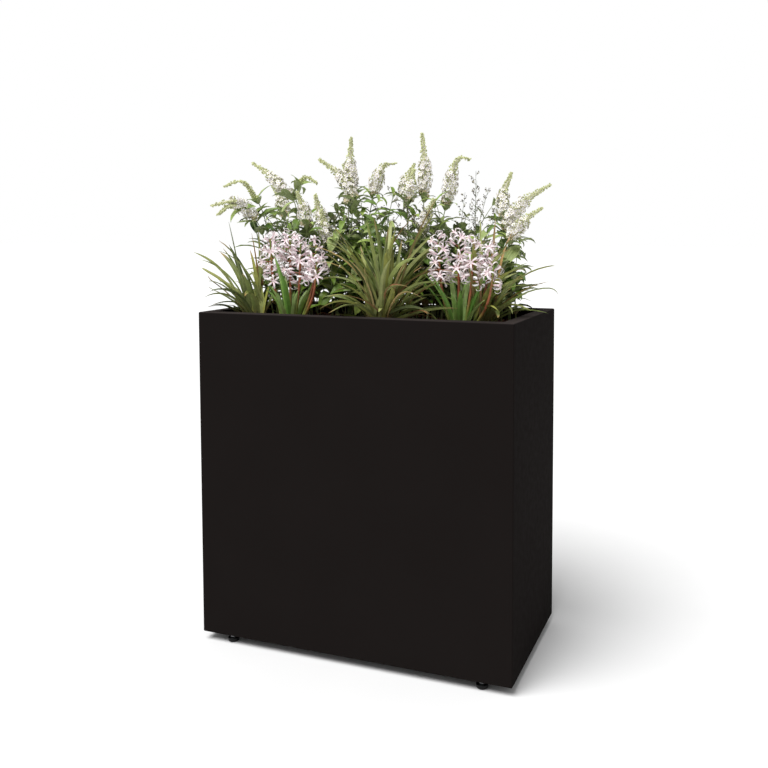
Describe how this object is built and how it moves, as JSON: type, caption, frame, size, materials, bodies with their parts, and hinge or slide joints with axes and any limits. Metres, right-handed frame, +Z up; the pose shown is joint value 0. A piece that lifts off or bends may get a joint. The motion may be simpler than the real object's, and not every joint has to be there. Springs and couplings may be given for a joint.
{
  "type": "raised planter box",
  "caption": "Tall rectangular sheet-metal planter box on small levelling feet, with a raised inner floor, soil, bark and a mixed flowering planting.",
  "frame": {"origin": "centre of the overall box's footprint, on the ground under the levelling feet", "axes": "+Z up; the long front faces -Y; +X to the right of someone looking at the front"},
  "size_m": [0.88, 0.43, 1.261],
  "materials": {
    "shell_coating": "matte",
    "inner_coating": "matte",
    "zinc_steel": "satin",
    "foot_plastic": "gloss",
    "clay_pebbles": "matte",
    "fleece": "matte",
    "soil": "matte",
    "bark": "matte",
    "grass_blades": "satin",
    "hyacinth": "satin",
    "loosestrife": "satin",
    "sprig_stems": "satin"
  },
  "bodies": {
    "planter": {"front_panel": "shell_coating", "right_panel": "shell_coating", "back_panel": "shell_coating", "left_panel": "shell_coating", "floor_ledge_left": "inner_coating", "floor_ledge_front": "inner_coating", "floor_ledge_right": "inner_coating", "floor_ledge_back": "inner_coating", "planting_floor": "inner_coating", "floor_stiffener_left": "inner_coating", "floor_stiffener_right": "inner_coating", "drainage_pebbles": "clay_pebbles", "filter_fleece": "fleece", "potting_soil": "soil", "bark_mulch": "bark", "corner_plate_front_left": "inner_coating", "corner_plate_front_right": "inner_coating", "corner_plate_back_left": "inner_coating", "corner_plate_back_right": "inner_coating", "weld_nuts": "zinc_steel", "lock_nuts": "zinc_steel", "grass_left": "grass_blades", "hyacinth_left": "hyacinth", "grass_centre": "grass_blades", "hyacinth_right": "hyacinth", "grass_right": "grass_blades", "loosestrife_left": "loosestrife", "sprig_left": "sprig_stems", "loosestrife_centre_left": "loosestrife", "loosestrife_centre_right": "loosestrife", "sprig_right": "sprig_stems", "loosestrife_right": "loosestrife"},
    "foot_pad_front_left": {"foot_pad_front_left": "foot_plastic"},
    "foot_stud_front_left": {"foot_stud_front_left": "zinc_steel"},
    "foot_pad_front_right": {"foot_pad_front_right": "foot_plastic"},
    "foot_stud_front_right": {"foot_stud_front_right": "zinc_steel"},
    "foot_pad_back_left": {"foot_pad_back_left": "foot_plastic"},
    "foot_stud_back_left": {"foot_stud_back_left": "zinc_steel"},
    "foot_pad_back_right": {"foot_pad_back_right": "foot_plastic"},
    "foot_stud_back_right": {"foot_stud_back_right": "zinc_steel"}
  },
  "joints": [
    {"name": "foot_height_front_left", "type": "slide", "parent": "planter", "child": "foot_pad_front_left", "axis": [0, 0, -1], "range_m": [0, 0.015]},
    {"name": "stud_turn_front_left", "type": "hinge", "parent": "foot_pad_front_left", "child": "foot_stud_front_left", "pos_m": [-0.325, -0.179, 0.03], "axis": [0, 0, -1], "range_deg": [0, 4320]},
    {"name": "foot_height_front_right", "type": "slide", "parent": "planter", "child": "foot_pad_front_right", "axis": [0, 0, -1], "range_m": [0, 0.015]},
    {"name": "stud_turn_front_right", "type": "hinge", "parent": "foot_pad_front_right", "child": "foot_stud_front_right", "pos_m": [0.325, -0.179, 0.03], "axis": [0, 0, -1], "range_deg": [0, 4320]},
    {"name": "foot_height_back_left", "type": "slide", "parent": "planter", "child": "foot_pad_back_left", "axis": [0, 0, -1], "range_m": [0, 0.015]},
    {"name": "stud_turn_back_left", "type": "hinge", "parent": "foot_pad_back_left", "child": "foot_stud_back_left", "pos_m": [-0.325, 0.179, 0.03], "axis": [0, 0, -1], "range_deg": [0, 4320]},
    {"name": "foot_height_back_right", "type": "slide", "parent": "planter", "child": "foot_pad_back_right", "axis": [0, 0, -1], "range_m": [0, 0.015]},
    {"name": "stud_turn_back_right", "type": "hinge", "parent": "foot_pad_back_right", "child": "foot_stud_back_right", "pos_m": [0.325, 0.179, 0.03], "axis": [0, 0, -1], "range_deg": [0, 4320]}
  ],
  "couplings": [
    {"joint": "stud_turn_front_left", "follows": "foot_height_front_left", "rad_per_m": 5026.5},
    {"joint": "stud_turn_front_right", "follows": "foot_height_front_right", "rad_per_m": 5026.5},
    {"joint": "stud_turn_back_left", "follows": "foot_height_back_left", "rad_per_m": 5026.5},
    {"joint": "stud_turn_back_right", "follows": "foot_height_back_right", "rad_per_m": 5026.5}
  ]
}
